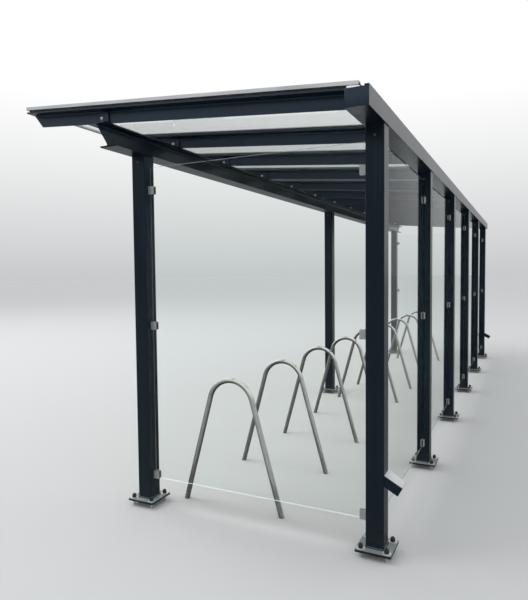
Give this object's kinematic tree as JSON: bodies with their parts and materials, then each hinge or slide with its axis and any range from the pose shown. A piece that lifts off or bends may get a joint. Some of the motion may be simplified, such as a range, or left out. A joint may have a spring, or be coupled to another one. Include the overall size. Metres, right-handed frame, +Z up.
{
  "type": "bicycle shelter",
  "caption": "Open-fronted bicycle shelter: glass rear wall and ends, sloping glass roof on steel posts and rafters, rear gutter and bent-tube parking hoops.",
  "frame": {"origin": "on the ground at the middle of the whole shelter's footprint", "axes": "+X along the length towards the end that the hoops start from, +Y to the rear glass wall, +Z up"},
  "size_m": [8.962, 2.5542, 2.8647],
  "materials": {
    "frame_paint": "satin",
    "anchor_steel": "zinc",
    "anchor_cap": "matte",
    "roof_pane": "clear",
    "wall_pane": "clear",
    "seal": "matte",
    "roof_metal": "satin",
    "clamp": "satin",
    "hoop": "brushed"
  },
  "bodies": {
    "root": {"rear_post_1": "frame_paint", "rear_post_2": "frame_paint", "rear_post_3": "frame_paint", "rear_post_4": "frame_paint", "rear_post_5": "frame_paint", "rear_post_6": "frame_paint", "front_post_1": "frame_paint", "front_post_2": "frame_paint", "front_post_3": "frame_paint", "front_beam": "frame_paint", "gutter": "frame_paint", "rain_spouts": "frame_paint", "rafter_1": "frame_paint", "rafter_2": "frame_paint", "rafter_3": "frame_paint", "rafter_4": "frame_paint", "rafter_5": "frame_paint", "rafter_6": "frame_paint", "rafter_7": "frame_paint", "rafter_8": "frame_paint", "rafter_9": "frame_paint", "rafter_10": "frame_paint", "rafter_11": "frame_paint", "rafter_12": "frame_paint", "rafter_cleats": "frame_paint", "anchor_studs": "anchor_steel", "anchor_caps": "anchor_cap", "roof_glass": "roof_pane", "roof_seals": "seal", "glazing_bars": "roof_metal", "roof_edge_trim": "roof_metal", "rear_glass": "wall_pane", "end_glass_near": "wall_pane", "end_glass_far": "wall_pane", "rear_clamps": "clamp", "end_clamps": "clamp", "bike_hoop_1": "hoop", "bike_hoop_2": "hoop", "bike_hoop_3": "hoop", "bike_hoop_4": "hoop", "bike_hoop_5": "hoop", "bike_hoop_6": "hoop", "bike_hoop_7": "hoop", "bike_hoop_8": "hoop", "bike_hoop_9": "hoop"}
  },
  "joints": []
}
